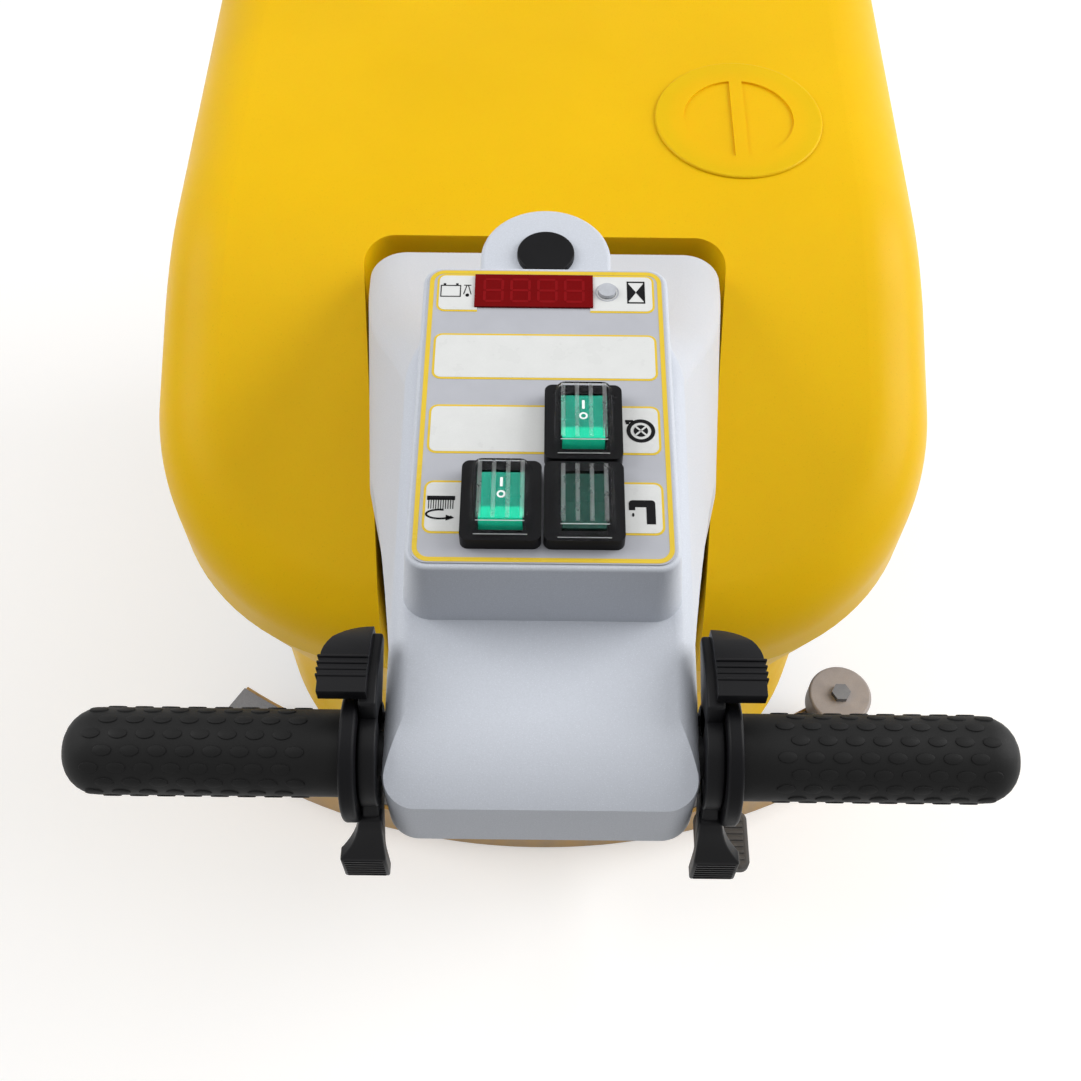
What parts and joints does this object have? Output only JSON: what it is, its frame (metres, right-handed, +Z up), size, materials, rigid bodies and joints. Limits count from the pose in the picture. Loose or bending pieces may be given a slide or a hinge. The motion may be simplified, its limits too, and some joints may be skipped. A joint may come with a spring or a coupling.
{
  "type": "floor scrubber",
  "caption": "Walk-behind battery floor scrubber with a tilting recovery tank, lifting brush deck, curved squeegee and a handle head with rocker switches and lever paddles.",
  "frame": {"origin": "on the floor under the middle of the machine's length and width", "axes": "+X to the operator's right, +Y forward, +Z up"},
  "size_m": [0.7024, 1.181, 0.9886],
  "materials": {
    "yellow_shell": "satin moulded",
    "grey_shell": "fine texture",
    "label_print": "printed film",
    "display_red": "clear tinted",
    "boot_clear": "clear moulded",
    "rocker_green": "tinted",
    "button_grey": "satin",
    "board_green": "coated",
    "black_plastic": "satin",
    "grip_rubber": "matt",
    "wheel_grey": "satin",
    "wheel_tread": "matt",
    "roller_grey": "matt",
    "blade_amber": "translucent",
    "skirt_rubber": "matt",
    "bristle": "nylon tufts",
    "block_plastic": "satin",
    "frame_paint": "satin",
    "cast_grey": "cast",
    "deck_plastic": "satin",
    "plated_steel": "zinc plated",
    "battery_case": "satin"
  },
  "bodies": {
    "root": {"chassis_frame": "frame_paint", "main_axle": "plated_steel", "axle_nuts": "plated_steel", "caster_plates": "plated_steel", "solution_tank": "yellow_shell", "batteries": "battery_case", "solution_valve": "black_plastic", "tank_hinge_pins": "plated_steel", "handle_column": "grey_shell", "handle_mast": "frame_paint", "console_housing": "grey_shell", "panel_label": "label_print", "display_window": "display_red", "control_board": "board_green", "switch_frames": "black_plastic", "switch_boots": "boot_clear", "blanking_plug": "black_plastic", "handlebar_tube": "frame_paint", "left_grip": "grip_rubber", "right_grip": "grip_rubber", "grip_flanges": "black_plastic", "lever_switches": "black_plastic"},
    "left_wheel": {"left_wheel_hub": "wheel_grey", "left_wheel_tyre": "wheel_tread"},
    "right_wheel": {"right_wheel_hub": "wheel_grey", "right_wheel_tyre": "wheel_tread"},
    "left_caster": {"left_caster_fork": "plated_steel"},
    "left_caster_roller": {"left_caster_wheel": "wheel_tread"},
    "right_caster": {"right_caster_fork": "plated_steel"},
    "right_caster_roller": {"right_caster_wheel": "wheel_tread"},
    "upper_deck_arms": {"deck_upper_arms": "frame_paint"},
    "lower_deck_arms": {"deck_lower_arms": "frame_paint"},
    "deck": {"deck_cover": "deck_plastic", "splash_skirt": "skirt_rubber", "gearbox": "cast_grey", "brush_motor": "frame_paint"},
    "brush": {"brush_bristles": "bristle", "brush_block": "block_plastic", "brush_hub": "plated_steel"},
    "pedal": {"pedal_arm": "frame_paint", "pedal_pad": "grip_rubber"},
    "squeegee_carrier": {"squeegee_arm": "frame_paint"},
    "squeegee": {"squeegee_body": "cast_grey", "rear_blade": "blade_amber", "front_blade": "blade_amber", "squeegee_knobs": "black_plastic"},
    "bumper_roller": {"squeegee_roller": "roller_grey"},
    "lift_lever": {"squeegee_lift_lever": "frame_paint"},
    "lift_link": {"squeegee_lift_link": "frame_paint"},
    "upper_tank": {"recovery_tank": "yellow_shell", "tank_hood": "yellow_shell", "vacuum_motor": "frame_paint"},
    "recovery_lid": {"recovery_cap": "yellow_shell"},
    "filler_lid": {"filler_cap": "black_plastic"},
    "left_paddle": {"left_lever": "black_plastic"},
    "right_paddle": {"right_lever": "black_plastic"},
    "button": {"hour_button": "button_grey"},
    "vacuum_switch": {"vacuum_rocker": "rocker_green"},
    "brush_switch": {"brush_rocker": "rocker_green"},
    "solution_switch": {"solution_rocker": "rocker_green"}
  },
  "joints": [
    {"name": "left_lever_pull", "type": "hinge", "parent": "root", "child": "left_paddle", "pos_m": [-0.0608, -0.56, 0.93], "axis": [1, 0, 0], "range_deg": [-12, 12], "stiffness_Nm_per_rad": 0.5},
    {"name": "right_lever_pull", "type": "hinge", "parent": "root", "child": "right_paddle", "pos_m": [0.0608, -0.56, 0.93], "axis": [1, 0, 0], "range_deg": [-12, 12], "stiffness_Nm_per_rad": 0.5},
    {"name": "button_press", "type": "slide", "parent": "root", "child": "button", "axis": [0, 0, 1], "range_m": [-0.0008, 0], "stiffness_N_per_m": 500},
    {"name": "vacuum_rock", "type": "hinge", "parent": "root", "child": "vacuum_switch", "pos_m": [0.0145, -0.4487, 0.9741], "axis": [1, 0, 0], "range_deg": [0, 14]},
    {"name": "brush_rock", "type": "hinge", "parent": "root", "child": "brush_switch", "pos_m": [-0.0153, -0.4841, 0.9741], "axis": [1, 0, 0], "range_deg": [0, 14]},
    {"name": "solution_rock", "type": "hinge", "parent": "root", "child": "solution_switch", "pos_m": [0.0145, -0.4841, 0.9741], "axis": [1, 0, 0], "range_deg": [-14, 0]},
    {"name": "left_wheel_spin", "type": "hinge", "parent": "root", "child": "left_wheel", "pos_m": [-0.232, 0.01759, 0.12], "axis": [1, 0, 0], "continuous": true},
    {"name": "right_wheel_spin", "type": "hinge", "parent": "root", "child": "right_wheel", "pos_m": [0.232, 0.01759, 0.12], "axis": [1, 0, 0], "continuous": true},
    {"name": "left_caster_swivel", "type": "hinge", "parent": "root", "child": "left_caster", "pos_m": [-0.115, -0.10741, 0.115], "axis": [0, 0, 1], "continuous": true},
    {"name": "left_caster_roll", "type": "hinge", "parent": "left_caster", "child": "left_caster_roller", "pos_m": [-0.115, -0.13741, 0.04], "axis": [1, 0, 0], "continuous": true},
    {"name": "right_caster_swivel", "type": "hinge", "parent": "root", "child": "right_caster", "pos_m": [0.115, -0.10741, 0.115], "axis": [0, 0, 1], "continuous": true},
    {"name": "right_caster_roll", "type": "hinge", "parent": "right_caster", "child": "right_caster_roller", "pos_m": [0.115, -0.13741, 0.04], "axis": [1, 0, 0], "continuous": true},
    {"name": "deck_lift", "type": "hinge", "parent": "root", "child": "upper_deck_arms", "pos_m": [0, 0.21668, 0.255], "axis": [1, 0, 0], "range_deg": [0, 19.19]},
    {"name": "deck_level", "type": "hinge", "parent": "upper_deck_arms", "child": "deck", "pos_m": [0, 0.335, 0.235], "axis": [1, 0, 0], "range_deg": [-19.2, 0]},
    {"name": "deck_guide", "type": "hinge", "parent": "root", "child": "lower_deck_arms", "pos_m": [0, 0.21668, 0.17], "axis": [1, 0, 0], "range_deg": [0, 19.2]},
    {"name": "pedal_press", "type": "hinge", "parent": "root", "child": "pedal", "pos_m": [0.165, -0.24041, 0.195], "axis": [1, 0, 0], "range_deg": [0, 35.1]},
    {"name": "brush_spin", "type": "hinge", "parent": "deck", "child": "brush", "pos_m": [0, 0.318, 0.06], "axis": [0, 0, 1], "continuous": true},
    {"name": "squeegee_lift", "type": "hinge", "parent": "root", "child": "squeegee_carrier", "pos_m": [0, -0.07041, 0.112], "axis": [-1, 0, 0], "range_deg": [0, 12]},
    {"name": "lift_lever_turn", "type": "hinge", "parent": "root", "child": "lift_lever", "pos_m": [0, -0.29541, 0.262], "axis": [1, 0, 0], "range_deg": [0, 49.1]},
    {"name": "lift_link_turn", "type": "hinge", "parent": "squeegee_carrier", "child": "lift_link", "pos_m": [0, -0.25041, 0.095], "axis": [1, 0, 0], "range_deg": [0, 12.1]},
    {"name": "squeegee_swing", "type": "hinge", "parent": "squeegee_carrier", "child": "squeegee", "pos_m": [0, -0.19041, 0.063], "axis": [0, 0, 1], "range_deg": [-4, 4]},
    {"name": "roller_spin", "type": "hinge", "parent": "squeegee", "child": "bumper_roller", "pos_m": [0.31702, -0.13171, 0.077], "axis": [0, 0, 1], "continuous": true},
    {"name": "tank_tilt", "type": "hinge", "parent": "root", "child": "upper_tank", "pos_m": [0, 0.458, 0.462], "axis": [-1, 0, 0], "range_deg": [0, 58]},
    {"name": "recovery_lid_twist", "type": "hinge", "parent": "upper_tank", "child": "recovery_lid", "pos_m": [0.133, -0.008, 0.745], "axis": [0, 0, 1], "range_deg": [0, 90]},
    {"name": "filler_lid_twist", "type": "hinge", "parent": "root", "child": "filler_lid", "pos_m": [0, 0.44, 0.412], "axis": [0, 1, 0], "range_deg": [0, 90]}
  ],
  "couplings": [
    {"joint": "deck_level", "follows": "deck_lift", "ratio": -1},
    {"joint": "deck_guide", "follows": "deck_lift", "ratio": 1},
    {"joint": "pedal_press", "follows": "deck_lift", "ratio": 1.824},
    {"joint": "lift_lever_turn", "follows": "squeegee_lift", "ratio": 4.083},
    {"joint": "lift_link_turn", "follows": "squeegee_lift", "ratio": 1}
  ]
}
